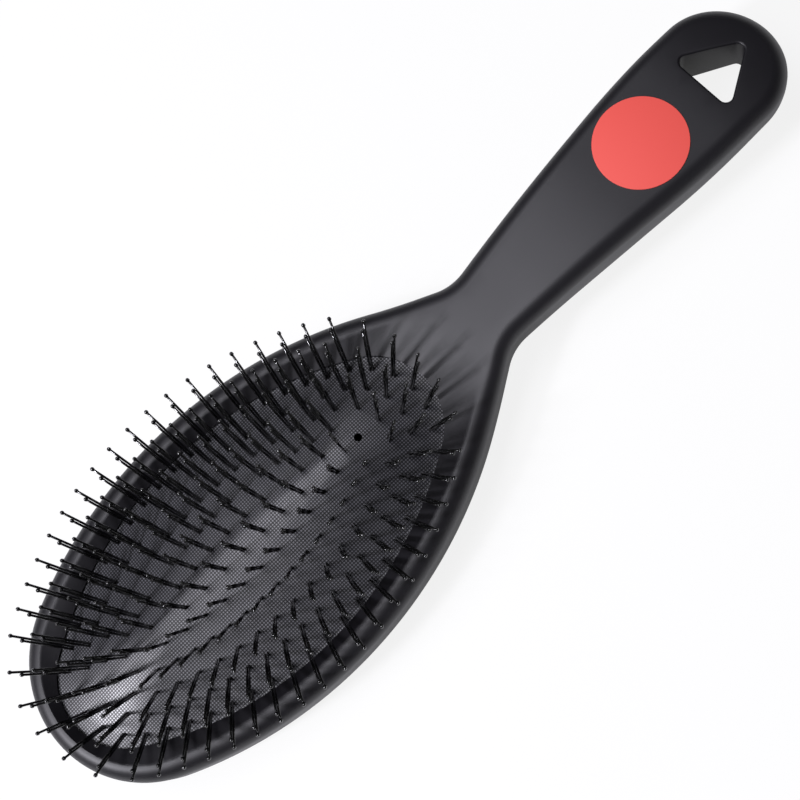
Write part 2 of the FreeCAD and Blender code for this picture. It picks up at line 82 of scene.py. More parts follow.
def closed_by_mirror(path, last_point, last_outward):
    """A left half, its last point on the middle line, and the same half mirrored to the right."""
    points = np.vstack([path[0], [last_point], path[0][:0:-1] * [1, -1]])
    outward = np.vstack([path[1], [last_outward], path[1][:0:-1] * [1, -1]])
    return points, outward


# %% [markdown]
# Two shapes come back in the outline. A quarter of an oval is a tight arc at its end and a wide one along its
# side, and the wide one's radius follows from the wish that the two meet without a corner. A flare is a
# straight line that leaves a corner, and an arc that brings it level. Both can be worked out once.

# %% Quarter ovals and flares
QUARTER = math.pi / 2


def quarter_arcs(reach, half_width, end_radius):
    """End centre, side centre, side radius and joint angle of a quarter of an oval."""
    side_radius = ((reach - end_radius) ** 2 + half_width**2 - end_radius**2) / (2 * (half_width - end_radius))
    joint = math.atan2(side_radius - half_width, reach - end_radius)
    return (reach - end_radius, 0), (0, half_width - side_radius), side_radius, joint


def straight_then_round(width_change, length, straight_length):
    """Slope and radius of a line and an arc that leave a corner and end level."""
    slope = 2 * math.atan(width_change / (length + straight_length))
    return slope, (length - straight_length * math.cos(slope)) / math.sin(slope)


print("side radius of an oval of 20 by 10 mm with ends of 3 mm: %.1f mm" % quarter_arcs(10, 5, 3)[2])

# %% [markdown]
# Seen from above, the head is an oval of four arcs, the shoulder runs into a hollow neck, and the handle
# swells to a round end. All sizes are in millimetres and agree with those of the CAD source. A "reach" is a
# place along X, and a "setback" is counted back from the handle's end.

# %% Outline of the moulding
HEAD_REACH, HEAD_HALF_WIDTH, HEAD_END_RADIUS = 62.3, 35.65, 28.4
NECK_REACH, NECK_HALF_WIDTH, NECK_RADIUS = 75.5, 9.55, 12
FLANK_LENGTH, FLARE_LENGTH = 20.6, 47.6
GRIP_HALF_WIDTH, GRIP_SETBACK, HANDLE_REACH = 15.2, 21.8, 166.2


def moulding_outline():
    """The outline from the head end round the left side to the handle end, and back along the right.

    The last number of each stretch below says how many steps it has.
    """
    end, side, side_radius, joint = quarter_arcs(HEAD_REACH, HEAD_HALF_WIDTH, HEAD_END_RADIUS)
    corner = np.array([NECK_REACH, NECK_HALF_WIDTH])
    fall, shoulder_radius = straight_then_round(HEAD_HALF_WIDTH - NECK_HALF_WIDTH, NECK_REACH, FLANK_LENGTH)
    peak = HANDLE_REACH - GRIP_SETBACK
    flare, bulge_radius = straight_then_round(GRIP_HALF_WIDTH - NECK_HALF_WIDTH, peak - NECK_REACH, FLARE_LENGTH)
    tangent = NECK_RADIUS * math.tan((fall + flare) / 2)
    neck_start = corner + tangent * np.array([-math.cos(fall), math.sin(fall)])
    neck_end = corner + tangent * np.array([math.cos(flare), math.sin(flare)])
    neck_centre = neck_start + NECK_RADIUS * np.array([math.sin(fall), math.cos(fall)])
    shoulder = (0, HEAD_HALF_WIDTH - shoulder_radius)
    bulge = (peak, GRIP_HALF_WIDTH - bulge_radius)
    flank_start = np.array(shoulder) + shoulder_radius * np.array([math.sin(fall), math.cos(fall)])
    bulge_start = np.array(bulge) + bulge_radius * np.array([-math.sin(flare), math.cos(flare)])
    end_start = (HANDLE_REACH - GRIP_HALF_WIDTH, GRIP_HALF_WIDTH)
    left = joined(
        arc((-end[0], 0), HEAD_END_RADIUS, math.pi, math.pi - joint, 30),
        arc(side, side_radius, math.pi - joint, QUARTER, 30),
        arc(shoulder, shoulder_radius, QUARTER, QUARTER - fall, 34),
        straight(flank_start, neck_start, 10),
        arc(neck_centre, NECK_RADIUS, -QUARTER - fall, -QUARTER + flare, 12, hollow=True),
        straight(neck_end, bulge_start, 26),
        arc(bulge, bulge_radius, QUARTER + flare, QUARTER, 14),
        straight((peak, GRIP_HALF_WIDTH), end_start, 6),
        arc((end_start[0], 0), GRIP_HALF_WIDTH, QUARTER, 0, 26),
    )
    return closed_by_mirror(left, (HANDLE_REACH, 0), (1, 0))


outline = moulding_outline()
print("outline points:", len(outline[0]))

# %% [markdown]
# Seen from the side, both faces are level under the head and climb to the handle, which is thus held clear of
# the table. The front turns level again where the label lies, and falls a little towards the end. Each
# face is a chain of bends, and its height is read off that chain for any X.

# %% Heights of the front and the back
HEAD_THICKNESS = 16
RISE_REACH, RISE_RADIUS, RISE_SLOPE, SETTLE_RADIUS = 58, 38.8, 15.4, 176
DROP_REACH, DROP_RADIUS, DROP_SLOPE = 139, 100, -17
LIFT_REACH, LIFT_RADIUS, LIFT_SLOPE = 58, 31, 18.15
EASE_RADIUS, GRIP_SLOPE = 105.6, 2.6
BEND_STEPS = 24


def side_view(height, bends):
    """Points of a face that starts level. A bend to a slope starts at a reach, or where the last one ends."""
    points, slope = [(-HEAD_REACH, height)], 0.0
    for reach, radius, degrees in bends:
        x, z = points[-1]
        if reach:
            points.append((reach, z + (reach - x) * math.tan(slope)))
            x, z = points[-1]
        after = math.radians(degrees)
        way = math.copysign(radius, after - slope)
        for angle in np.linspace(slope, after, BEND_STEPS + 1)[1:]:
            rise = way * (math.cos(slope) - math.cos(angle))
            points.append((x + way * (math.sin(angle) - math.sin(slope)), z + rise))
        slope = after
    x, z = points[-1]
    run = max(HANDLE_REACH - x, 1)
    return np.array([*points, (x + run, z + run * math.tan(slope))]).T


FRONT = side_view(
    HEAD_THICKNESS,
    ((RISE_REACH, RISE_RADIUS, RISE_SLOPE), (None, SETTLE_RADIUS, 0), (DROP_REACH, DROP_RADIUS, DROP_SLOPE)),
)
BACK = side_view(0, ((LIFT_REACH, LIFT_RADIUS, LIFT_SLOPE), (None, EASE_RADIUS, GRIP_SLOPE)))


def front(x):
    """Height of the front, where the pins are."""
    return np.interp(x, *FRONT)


def back(x):
    """Height of the back, which the brush lies on."""
    return np.interp(x, *BACK)


print("front and back at the neck: %.1f and %.1f mm" % (front(NECK_REACH), back(NECK_REACH)))

# %% [markdown]
# Ovals come back again and again: the lip round the cushion, the groove under it, the dish of the front and
# the rings of pins. One function makes them all, with the same number of points on each, so that
# two ovals can be joined by a band of quads.

# %% Ovals
END_ROUND_SHARE = 0.6
OVAL_END_STEPS, OVAL_SIDE_STEPS = 26, 30


def oval(head_reach, handle_reach, half_width, head_radius, handle_radius):
    """Points of an oval from its head end round the left side."""
    head = quarter_arcs(head_reach, half_width, head_radius)
    grip = quarter_arcs(handle_reach, half_width, handle_radius)
    left = joined(
        arc((-head[0][0], 0), head_radius, math.pi, math.pi - head[3], OVAL_END_STEPS),
        arc(head[1], head[2], math.pi - head[3], QUARTER, OVAL_SIDE_STEPS),
        arc(grip[1], grip[2], QUARTER, grip[3], OVAL_SIDE_STEPS),
        arc(grip[0], handle_radius, grip[3], 0, OVAL_END_STEPS),
    )
    return closed_by_mirror(left, (handle_reach, 0), (1, 0))


def even_oval(half_length, half_width, round_share=END_ROUND_SHARE):
    """Points of an oval that is alike at both ends."""
    radius = half_width * round_share
    return oval(half_length, half_length, half_width, radius, radius)[0]


print("points of an oval:", len(even_oval(2, 1)))

# %% [markdown]
# The large faces of the handle and the head bend along X, so they can't be one flat polygon. They are filled
# with triangles whose corners stand on a square grid in plan. Two helpers find the grid's points: one tells
# whether a point lies inside a polygon, and one keeps the points that are inside, and clear of all edges.

# %% Grid inside a border
GRID_STEP = 2.5
GRID_MARGIN = GRID_STEP * 0.45


def inside_polygon(points, polygon):
    """Which points lie inside a closed polygon."""
    x, y = points[:, :1], points[:, 1:]
    x0, y0 = polygon[:, 0], polygon[:, 1]
    x1, y1 = np.roll(x0, -1), np.roll(y0, -1)
    crosses = (y0 > y) != (y1 > y)
    slope = np.where(y1 == y0, 1, y1 - y0)
    return (crosses & (x < x0 + (y - y0) * (x1 - x0) / slope)).sum(axis=1) % 2 == 1


def grid(border, holes):
    """Points of a square grid inside a border and outside holes, with a margin to both."""
    low, high = border.min(axis=0), border.max(axis=0)
    across, along = np.meshgrid(np.arange(low[0], high[0], GRID_STEP), np.arange(low[1], high[1], GRID_STEP))
    points = np.column_stack([across.ravel(), along.ravel()])
    keep = inside_polygon(points, border)
    for loop in [border, *holes]:
        away = np.linalg.norm(points[:, None] - loop[None], axis=2).min(axis=1)
        keep &= away > GRID_MARGIN
    for hole in holes:
        keep &= ~inside_polygon(points, hole)
    return points[keep]


print("grid points inside the outline:", len(grid(outline[0], [])))

# %% [markdown]
# A piece is gathered in a small class: rows of points, bands of quads between rows, and fills. A fill is made
# by Delaunay triangles in plan and then lifted to its height, so it can follow a bend and leave out the hole
# in the handle. At the end the points become metres, doubles are merged, and all faces turn outwards.

# %% Rows, bands and fills
INSIDE_ONLY = 1
SAME_PLACE_IN_PLAN = 1e-5
SAME_PLACE = 1e-7


class Shell:
    """Points in mm and faces of one piece."""

    def __init__(self):
        self.points = []
        self.faces = []

    def row(self, plan, height):
        """Adds a closed row of points, and gives their numbers."""
        heights = np.broadcast_to(height, len(plan))
        first = len(self.points)
        self.points += [(x, y, z) for (x, y), z in zip(plan, heights)]
        return list(range(first, len(self.points)))

    def band(self, row, after):
        """Quads between two rows with the same number of points."""
        for i in range(len(row)):
            self.faces.append((row[i - 1], row[i], after[i], after[i - 1]))

    def bands(self, rows):
        """Quads from each row to the next."""
        for row, after in zip(rows, rows[1:]):
            self.band(row, after)

    def fill(self, rings, inside, height):
        """Triangles inside the first closed row and outside the others, lifted to a height worked out from X."""
        numbers = [n for ring in rings for n in ring]
        plan = [Vector(self.points[n][:2]) for n in numbers] + [Vector(p) for p in inside]
        edges, start = [], 0
        for ring in rings:
            edges += [(start + i, start + (i + 1) % len(ring)) for i in range(len(ring))]
            start += len(ring)
        made, _, faces, origins, _, _ = delaunay_2d_cdt(plan, edges, [], INSIDE_ONLY, SAME_PLACE_IN_PLAN)
        known, corners = len(numbers), []
        for place, origin in zip(made, origins):
            if origin[0] < known:
                corners.append(numbers[origin[0]])
            else:
                corners.append(len(self.points))
                self.points.append((place.x, place.y, float(height(place.x))))
        keep = np.ones(len(faces), bool)
        middles = np.array([np.mean([made[corner] for corner in face], axis=0) for face in faces])
        for ring in rings[1:]:
            keep &= ~inside_polygon(middles, np.array([self.points[n][:2] for n in ring]))
        self.faces += [tuple(corners[corner] for corner in face) for face, kept in zip(faces, keep) if kept]

    def mesh_object(self, name, sharp_angle):
        """A mesh object in metres, with faces outwards and smooth but for edges sharper than an angle."""
        mesh = bpy.data.meshes.new(name)
        mesh.from_pydata([tuple(c * MM for c in p) for p in self.points], [], self.faces)
        return finished(mesh, name, sharp_angle)


def finished(mesh, name, sharp_angle):
    """Puts a mesh into the scene with its faces outwards and its edges smooth or sharp."""
    work = bmesh.new()
    work.from_mesh(mesh)
    bmesh.ops.remove_doubles(work, verts=work.verts, dist=SAME_PLACE)
    bmesh.ops.recalc_face_normals(work, faces=work.faces)
    work.to_mesh(mesh)
    work.free()
    mesh.shade_smooth()
    mesh.set_sharp_from_angle(angle=math.radians(sharp_angle))
    made = bpy.data.objects.new(name, mesh)
    bpy.context.scene.collection.objects.link(made)
    print(name, "faces:", len(mesh.polygons))
    return made


# %% [markdown]
# The brush hangs by a triangular hole near the handle's end. Its corners are rounded, so each of them is an arc
# that touches both sides. The arcs and the straight stretches between them make one path.

# %% Hanging hole
HANG_BASE_SETBACK, HANG_HEIGHT, HANG_BASE_WIDTH = 20.6, 14.4, 17.5
HANG_CORNER_RADIUS, HANG_CORNER_STEPS, HANG_SIDE_STEPS = 1.6, 6, 8


def hang_triangle():
    """Left-turning path of the hanging hole with rounded corners, and the directions into the hole's wall."""
    base = HANDLE_REACH - HANG_BASE_SETBACK
    corners = np.array([[base, -HANG_BASE_WIDTH / 2], [base + HANG_HEIGHT, 0], [base, HANG_BASE_WIDTH / 2]])
    stretches = []
    ends = []
    for number in range(3):
        back_way = corners[number - 1] - corners[number]
        ahead = corners[(number + 1) % 3] - corners[number]
        back_way, ahead = back_way / np.linalg.norm(back_way), ahead / np.linalg.norm(ahead)
        half = math.acos(float(np.dot(back_way, ahead))) / 2
        middle = (back_way + ahead) / np.linalg.norm(back_way + ahead)
        centre = corners[number] + middle * HANG_CORNER_RADIUS / math.sin(half)
        facing = math.atan2(*(-middle)[::-1])
        turn = QUARTER - half
        stretches.append(arc(centre, HANG_CORNER_RADIUS, facing - turn, facing + turn, HANG_CORNER_STEPS))
        tangent = HANG_CORNER_RADIUS / math.tan(half)
        ends.append((corners[number] + back_way * tangent, corners[number] + ahead * tangent))
    path = []
    for number in range(3):
        path.append(stretches[number])
        points, outward = straight(ends[number][1], ends[(number + 1) % 3][0], HANG_SIDE_STEPS)
        path.append((points, -outward))
    return joined(*path)


triangle = hang_triangle()
print("points of the hanging hole:", len(triangle[0]))

# %% [markdown]
# The moulding is one closed skin. It starts on the back, goes round the back edge, up the wall, round the
# front edge, down the dish to the lip, under the lip into the groove that holds the cushion, and ends on
# the pocket's floor. The triangle to hang it by is a second loop of rows through the handle. A bevel
# modifier could round the edges, but rows that are worked out keep the exact radii of the CAD part.

# %% Moulding
CREST_RADIUS, BACK_RADIUS, HANG_EDGE_ROUND, ROUND_STEPS = 3.7, 7, 0.6, 9
MOUTH_HALF_LENGTH, MOUTH_HALF_WIDTH = 56.5, 28.3
DISH_REACH, DISH_HALF_WIDTH, DISH_END_RADIUS = 58.4, 30.9, 24.3
DISH_NOSE_REACH, DISH_NOSE_RADIUS, DISH_DEPTH, DISH_STEPS = 68, 16, 2, 8
LIP_THICKNESS, LIP_ROUND, RUBBER_THICKNESS = 0.7, 0.2, 1.5
GROOVE_REACH, LEDGE_WIDTH, POCKET_FLOOR = 1.8, 1.1, 4.5
LIP_TOP = HEAD_THICKNESS - DISH_DEPTH
BEAD_TOP = LIP_TOP - LIP_THICKNESS
BEAD_BOTTOM = BEAD_TOP - RUBBER_THICKNESS
RIGID_SHARP_ANGLE = 40


def moved_in(path, distance):
    """A path's points moved inwards."""
    return path[0] - distance * path[1]


def edge_round(shell, path, radius, surface, side):
    """Rows of a quarter round from the wall to the front, or on the other side from the wall to the back."""
    rows = []
    for angle in np.linspace(0, QUARTER, ROUND_STEPS + 1):
        plan = moved_in(path, radius * (1 - math.cos(angle)))
        drop = radius * (1 - math.sin(angle))
        rows.append(shell.row(plan, surface(plan[:, 0]) - side * drop))
    return rows


def make_moulding():
    """The handle and the head as one closed skin."""
    shell = Shell()
    front_rows = edge_round(shell, outline, CREST_RADIUS, front, 1)
    back_rows = edge_round(shell, outline, BACK_RADIUS, back, -1)
    shell.band(front_rows[0], back_rows[0])
    shell.bands(front_rows)
    shell.bands(back_rows)

    crest, _ = oval(DISH_REACH, DISH_NOSE_REACH, DISH_HALF_WIDTH, DISH_END_RADIUS, DISH_NOSE_RADIUS)
    mouth = even_oval(MOUTH_HALF_LENGTH, MOUTH_HALF_WIDTH)
    dish = []
    for share in np.linspace(1, 0, DISH_STEPS + 1):
        dish.append(shell.row(mouth + (crest - mouth) * share, LIP_TOP + (front(crest[:, 0]) - LIP_TOP) * share))
    lip = [dish[-1]]
    for growth, height in (
        (0, LIP_TOP - LIP_ROUND),
        (0, BEAD_TOP),
        (GROOVE_REACH, BEAD_TOP),
        (GROOVE_REACH, BEAD_BOTTOM),
        (-LEDGE_WIDTH, BEAD_BOTTOM),
        (-LEDGE_WIDTH, POCKET_FLOOR),
    ):
        lip.append(shell.row(even_oval(MOUTH_HALF_LENGTH + growth, MOUTH_HALF_WIDTH + growth), height))
    shell.bands(dish)
    shell.bands(lip)
    shell.faces.append(tuple(lip[-1]))

    wall = (triangle[0], -triangle[1])
    front_hole = edge_round(shell, wall, HANG_EDGE_ROUND, front, 1)
    back_hole = edge_round(shell, wall, HANG_EDGE_ROUND, back, -1)
    shell.band(front_hole[0], back_hole[0])
    shell.bands(front_hole)
    shell.bands(back_hole)

    for rows, holes, surface in (
        (front_rows, [dish[0], front_hole[-1]], front),
        (back_rows, [back_hole[-1]], back),
    ):
        loops = [np.array([shell.points[n][:2] for n in ring]) for ring in [rows[-1], *holes]]
        shell.fill([rows[-1], *holes], grid(loops[0], loops[1:]), surface)
    return shell.mesh_object("moulding", RIGID_SHARP_ANGLE)


moulding = make_moulding()
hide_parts("handle_body")
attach(moulding, "brush")
print("the cushion's bead sits between %.1f and %.1f mm" % (BEAD_BOTTOM, BEAD_TOP))

# %% [markdown]
# The pins stand in a line along the middle and in five oval rings round it. The cushion's crown is highest over
# that line and falls to the lip in a smooth curve through the heights at which the rings stand. A cubic
# curve is laid through those heights, level at the top, and read off for many ovals between the rings.

# %% Rings of pins and the crown they stand on
CROWN_HEIGHT, CROWN_HALF_LENGTH, CROWN_HALF_WIDTH, CROWN_ROWS = 4.2, 26, 2.4, 34
RING_PITCH, OUTER_HALF_LENGTH, OUTER_HALF_WIDTH = 5.15, 52.5, 26.1
CUSHION_PLAY = 0.25
DOME_HEIGHT_SHARES = (1.0, 0.835, 0.655, 0.435, 0.185, 0.0)
RING_COUNTS = (7, 24, 34, 36, 44, 48)
LAST_RING = len(RING_COUNTS) - 1


def ring_reach(ring):
    """Half the length and half the width of a ring of pins."""
    inset = RING_PITCH * (LAST_RING - ring)
    return OUTER_HALF_LENGTH - inset, OUTER_HALF_WIDTH - inset


def rubber_height(ring):
    """Height of the rubber's face along a ring of pins."""
    share = (DOME_HEIGHT_SHARES[max(ring - 1, 0)] + DOME_HEIGHT_SHARES[ring]) / 2
    return BEAD_TOP + CROWN_HEIGHT * share


def smooth_through(places, values, wanted):
    """A smooth curve through values, level at the first place."""
    slopes = np.gradient(values, places)
    slopes[0] = 0
    index = np.clip(np.searchsorted(places, wanted) - 1, 0, len(places) - 2)
    gap = places[index + 1] - places[index]
    t = (wanted - places[index]) / gap
    start = (1 + 2 * t) * (1 - t) ** 2 * values[index] + t * (1 - t) ** 2 * gap * slopes[index]
    end = t * t * (3 - 2 * t) * values[index + 1] + t * t * (t - 1) * gap * slopes[index + 1]
    return start + end


def dome_rows():
    """Ovals of the crown from the middle to the edge, each with its height."""
    edge_length, edge_width = MOUTH_HALF_LENGTH - CUSHION_PLAY, MOUTH_HALF_WIDTH - CUSHION_PLAY
    rings = [ring_reach(ring) for ring in range(1, LAST_RING + 1)]
    widths = np.array([CROWN_HALF_WIDTH, *[w for _, w in rings], edge_width])
    lengths = np.array([CROWN_HALF_LENGTH, *[length for length, _ in rings], edge_length])
    heights = np.array([BEAD_TOP + CROWN_HEIGHT, *[rubber_height(r) for r in range(1, LAST_RING + 1)], BEAD_TOP])
    wanted = np.linspace(widths[0], widths[-1], CROWN_ROWS)
    wanted_lengths = np.interp(wanted, widths, lengths)
    wanted_heights = smooth_through(widths, heights, wanted)
    return [(even_oval(*row[:2]), row[2]) for row in zip(wanted_lengths, wanted, wanted_heights)]


print("heights of the rubber at the rings:", [round(rubber_height(ring), 2) for ring in range(LAST_RING + 1)])

# %% [markdown]
# The cushion is a thin rubber membrane, hollow underneath. The ovals of its crown, lowered by the rubber's
# thickness, make its underside, and a bead round the edge sits in the moulding's groove. The air vent is cut
# with a boolean, which is the shortest way to one small round hole in a curved wall.

# %% Cushion
BEAD_WIDTH, VENT_REACH, VENT_RADIUS, VENT_SIDES = 1.5, 36.2, 0.95, 24
CUSHION_SHARP_ANGLE = 50


def make_cushion():
    """The crowned rubber membrane with its bead and vent."""
    shell = Shell()
    rows = dome_rows()
    upper = [shell.row(plan, height) for plan, height in rows]
    under = [shell.row(plan, height - RUBBER_THICKNESS) for plan, height in rows]
    bead = even_oval(MOUTH_HALF_LENGTH + BEAD_WIDTH, MOUTH_HALF_WIDTH + BEAD_WIDTH)
    rim = [upper[-1], shell.row(bead, BEAD_TOP), shell.row(bead, BEAD_BOTTOM), under[-1]]
    shell.bands(upper)
    shell.bands(under)
    shell.bands(rim)
    shell.faces += [tuple(upper[0]), tuple(under[0])]
    made = shell.mesh_object("rubber_cushion", CUSHION_SHARP_ANGLE)

    bpy.ops.mesh.primitive_cylinder_add(vertices=VENT_SIDES, radius=VENT_RADIUS * MM, depth=HEAD_THICKNESS * MM)
    drill = bpy.context.object
    drill.location = (VENT_REACH * MM, 0, HEAD_THICKNESS * MM)
    cut = made.modifiers.new("vent", "BOOLEAN")
    cut.operation, cut.solver, cut.object = "DIFFERENCE", "EXACT", drill
    bpy.context.view_layer.update()
    made.data = bpy.data.meshes.new_from_object(made.evaluated_get(bpy.context.evaluated_depsgraph_get()))
    made.modifiers.clear()
    bpy.data.objects.remove(drill)
    return made


cushion = make_cushion()
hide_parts("cushion")
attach(cushion, "brush")
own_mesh(cushion)

# %% [markdown]
# Shader and geometry trees are sums of sockets. A small class wraps a socket, so that Python's own signs add the
# Math nodes, and one method adds every other node: first its settings, then its values or links.


# %% Sockets in plain sums
class Signal:
    """An output socket that can be used in plain sums."""

    def __init__(self, nodes, socket):
        self.nodes, self.socket = nodes, socket

    def maths(self, operation, *others):
        """A Math node on this socket and up to two more values."""
        return self.nodes.add("ShaderNodeMath", {"operation": operation}, dict(enumerate((self, *others))))

    def __add__(self, other):
        return self.maths("ADD", other)

    def __sub__(self, other):
        return self.maths("SUBTRACT", other)

    def __rsub__(self, other):
        return self.nodes.add("ShaderNodeMath", {"operation": "SUBTRACT"}, {0: other, 1: self})

    def __mul__(self, other):
        return self.maths("MULTIPLY", other)

    __radd__, __rmul__ = __add__, __mul__


class Nodes:
    """Adds nodes to one tree."""

    def __init__(self, tree):
        self.tree = tree
        tree.nodes.clear()

    def add(self, kind, settings=None, values=None, output=0):
        """Adds a node, sets it up, fills its sockets with values or links, and gives one of its outputs."""
        node = self.tree.nodes.new(kind)
        for name, value in (settings or {}).items():
            setattr(node, name, value)
        for name, value in (values or {}).items():
            for one in value if isinstance(value, list) else [value]:
                if isinstance(one, Signal):
                    self.tree.links.new(one.socket, node.inputs[name])
                else:
                    node.inputs[name].default_value = one
        return Signal(self, node.outputs[output]) if len(node.outputs) else node

    def triple(self, x, y, z):
        """Three values as one vector."""
        return self.add("ShaderNodeCombineXYZ", values={0: x, 1: y, 2: z})


# %% [markdown]
# Each pin is moulded double: a long and a short leg stand side by side on one root, each with a ball tip that
# spares the scalp. All the double pins of a ring are one piece here, because a ring of them presses in as one.
# Their places are worked out in Python; Geometry Nodes then stand one double pin on every place.

# %% Places of the pins
CENTRE_LINE_HALF_LENGTH, SIDE_TILT, END_TILT = 18.5, 40.2, 22.2
RING_HALF_STEPS = (0, 0, 0.5, 0, 0.5, 0)
RING_ROUND_SHARES = (0, 0.3, 0.5, 0.6, 0.6, 0.6)


def point_on_ring(ring, share):
    """A point at a share of a ring's way round from its head end, and the direction outwards."""
    dense = even_oval(*ring_reach(ring), RING_ROUND_SHARES[ring])
    steps = np.linalg.norm(np.roll(dense, -1, axis=0) - dense, axis=1)
    way = np.concatenate([[0], np.cumsum(steps)])
    place = share % 1 * way[-1]
    closed = np.vstack([dense, dense[:1]])
    point = np.array([np.interp(place, way, closed[:, axis]) for axis in range(2)])
    number = min(int(np.searchsorted(way, place, side="right")) - 1, len(dense) - 1)
    run = closed[number + 1] - closed[number]
    outward = np.array([-run[1], run[0]]) / np.linalg.norm(run)
    return point, outward


def pin_places(ring):
    """Seats of a ring's double pins: the point on the rubber, the way up, and from short leg to long leg.

    The vent takes the place of one of them.
    """
    seats = []
    for number in range(RING_COUNTS[ring]):
        if ring == 0:
            share = number / (RING_COUNTS[0] - 1)
            point, outward = np.array([(2 * share - 1) * CENTRE_LINE_HALF_LENGTH, 0]), np.array([0, 1])
        else:
            point, outward = point_on_ring(ring, (number + RING_HALF_STEPS[ring]) / RING_COUNTS[ring])
        if np.linalg.norm(point - [VENT_REACH, 0]) < RING_PITCH / 2:
            continue
        lean = math.radians((SIDE_TILT * outward[1] ** 2 + END_TILT * outward[0] ** 2) * ring / LAST_RING)
        up = (*(outward * math.sin(lean)), math.cos(lean))
        along = (abs(outward[1]), -outward[0] * math.copysign(1, outward[1]), 0)
        seats.append(((*point, rubber_height(ring)), up, along))
    return seats


print("double pins:", [len(pin_places(ring)) for ring in range(len(RING_COUNTS))])

# %% [markdown]
# A leg is a slim cone that runs through the rubber, and its tip is a small egg. Both have few faces, because
# they are repeated almost four hundred times. The sizes come in as sockets, so the function that adds the
# nodes of a leg doesn't know any of them.

# %% One leg of a pin
PIN_SIZES = {
    "Long leg": 17.2,
    "Short leg": 14.0,
    "Leg width": 0.64,
    "Neck width": 0.56,
    "Ball width": 1.0,
    "Ball length": 1.1,
    "Root depth": 3.0,
}
LEG_SIDES, BALL_RINGS = 8, 6


def leg(nodes, given, length, side):
    """Adds the nodes of one leg with its ball tip, on its side of the root."""
    depth, width = given["Root depth"], given["Leg width"]
    middle = length + depth - given["Ball length"] * 0.5
    narrow, wide = given["Neck width"] * 0.5, width * 0.5
    shaft = nodes.add(
        "GeometryNodeMeshCone",
        {"fill_type": "NGON"},
        {"Vertices": LEG_SIDES, "Radius Top": narrow, "Radius Bottom": wide, "Depth": middle},
    )
    ball = nodes.add(
        "GeometryNodeMeshUVSphere", values={"Segments": LEG_SIDES, "Rings": BALL_RINGS, "Radius": 0.5}
    )
    scale = nodes.triple(given["Ball width"], given["Ball width"], given["Ball length"])
    tip = nodes.add(
        "GeometryNodeTransform",
        values={"Geometry": ball, "Translation": nodes.triple(0, 0, middle), "Scale": scale},
    )
    whole = nodes.add("GeometryNodeJoinGeometry", values={"Geometry": [shaft, tip]})
    place = nodes.triple(width * 0.5 * side, 0, 0 - depth)
    return nodes.add("GeometryNodeTransform", values={"Geometry": whole, "Translation": place})


print("sizes of a pin in mm:", PIN_SIZES)

# %% [markdown]
# The tree has a named input for each size of a pin and one for its finish. It joins a long and a short leg
# into a double pin, stands a copy on each place by that place's two directions, and makes the copies real.


# %% Tree of the double pins
def pin_tree():
    """The tree, and the identifiers of its inputs by their names."""
    tree = bpy.data.node_groups.new("double_pins", "GeometryNodeTree")
    tree.interface.new_socket(name="Geometry", in_out="OUTPUT", socket_type="NodeSocketGeometry")
    tree.interface.new_socket(name="Geometry", in_out="INPUT", socket_type="NodeSocketGeometry")
    inputs = {}
    for name in PIN_SIZES:
        made = tree.interface.new_socket(name=name, in_out="INPUT", socket_type="NodeSocketFloat")
        inputs[name] = made.identifier
    made = tree.interface.new_socket(name="Finish", in_out="INPUT", socket_type="NodeSocketMaterial")
    inputs["Finish"] = made.identifier
    nodes = Nodes(tree)
    given = {name: nodes.add("NodeGroupInput", output=name) for name in ("Geometry", *inputs)}
    legs = [leg(nodes, given, given["Long leg"], 1), leg(nodes, given, given["Short leg"], -1)]
    pair = nodes.add("GeometryNodeJoinGeometry", values={"Geometry": legs})
    ways = [
        nodes.add("GeometryNodeInputNamedAttribute", {"data_type": "FLOAT_VECTOR"}, {"Name": name})
        for name in ("up", "along")
    ]
    facing = nodes.add(
        "FunctionNodeAxesToRotation",
        {"primary_axis": "Z", "secondary_axis": "X"},
        {"Primary Axis": ways[0], "Secondary Axis": ways[1]},
    )
    stood = nodes.add(
        "GeometryNodeInstanceOnPoints",
        values={"Points": given["Geometry"], "Instance": pair, "Rotation": facing},
    )
    real = nodes.add("GeometryNodeRealizeInstances", values={"Geometry": stood})
    smooth = nodes.add("GeometryNodeSetShadeSmooth", values={"Geometry": real, "Shade Smooth": True})
    painted = nodes.add("GeometryNodeSetMaterial", values={"Geometry": smooth, "Material": given["Finish"]})
    nodes.add("NodeGroupOutput", values={"Geometry": painted})
    return tree, inputs


tree, tree_inputs = pin_tree()
print("inputs of the tree:", ", ".join(tree_inputs))

# %% [markdown]
# Finishes. The moulding has a soft-touch skin: dark, matt and a little velvety. The label is a flat film in coral
# red, and the pins are glossy nylon. An image could carry the grain of the skin, but noise worked out from the
# piece's own place needs no unwrapping and stays put when the piece moves.

# %% Finishes of the moulding, the label and the pins
RELIEF_DEPTH = 0.0001


def finish(name, values, changing=None):
    """A material with fixed values on its shader, and, if given, a function that adds what changes."""
    made = bpy.data.materials.new(name)
    made.use_nodes = True
    nodes = Nodes(made.node_tree)
    values = dict(values)
    if changing:
        values.update(changing(nodes))
    shader = nodes.add("ShaderNodeBsdfPrincipled", values=values)
    nodes.add("ShaderNodeOutputMaterial", values={"Surface": shader})
    return made


def object_place(nodes):
    """The place on the piece, in metres."""
    return nodes.add("ShaderNodeTexCoord", output="Object")


def velvety(nodes):
    """A very fine grain in the skin."""
    grain = nodes.add("ShaderNodeTexNoise", values={"Vector": object_place(nodes), "Scale": 2500, "Detail": 2})
    cloud = nodes.add("ShaderNodeTexNoise", values={"Vector": object_place(nodes), "Scale": 45, "Detail": 3})
    relief = nodes.add("ShaderNodeBump", values={"Height": grain, "Strength": 0.06, "Distance": RELIEF_DEPTH})
    return {"Roughness": 0.43 + cloud * 0.06, "Normal": relief}


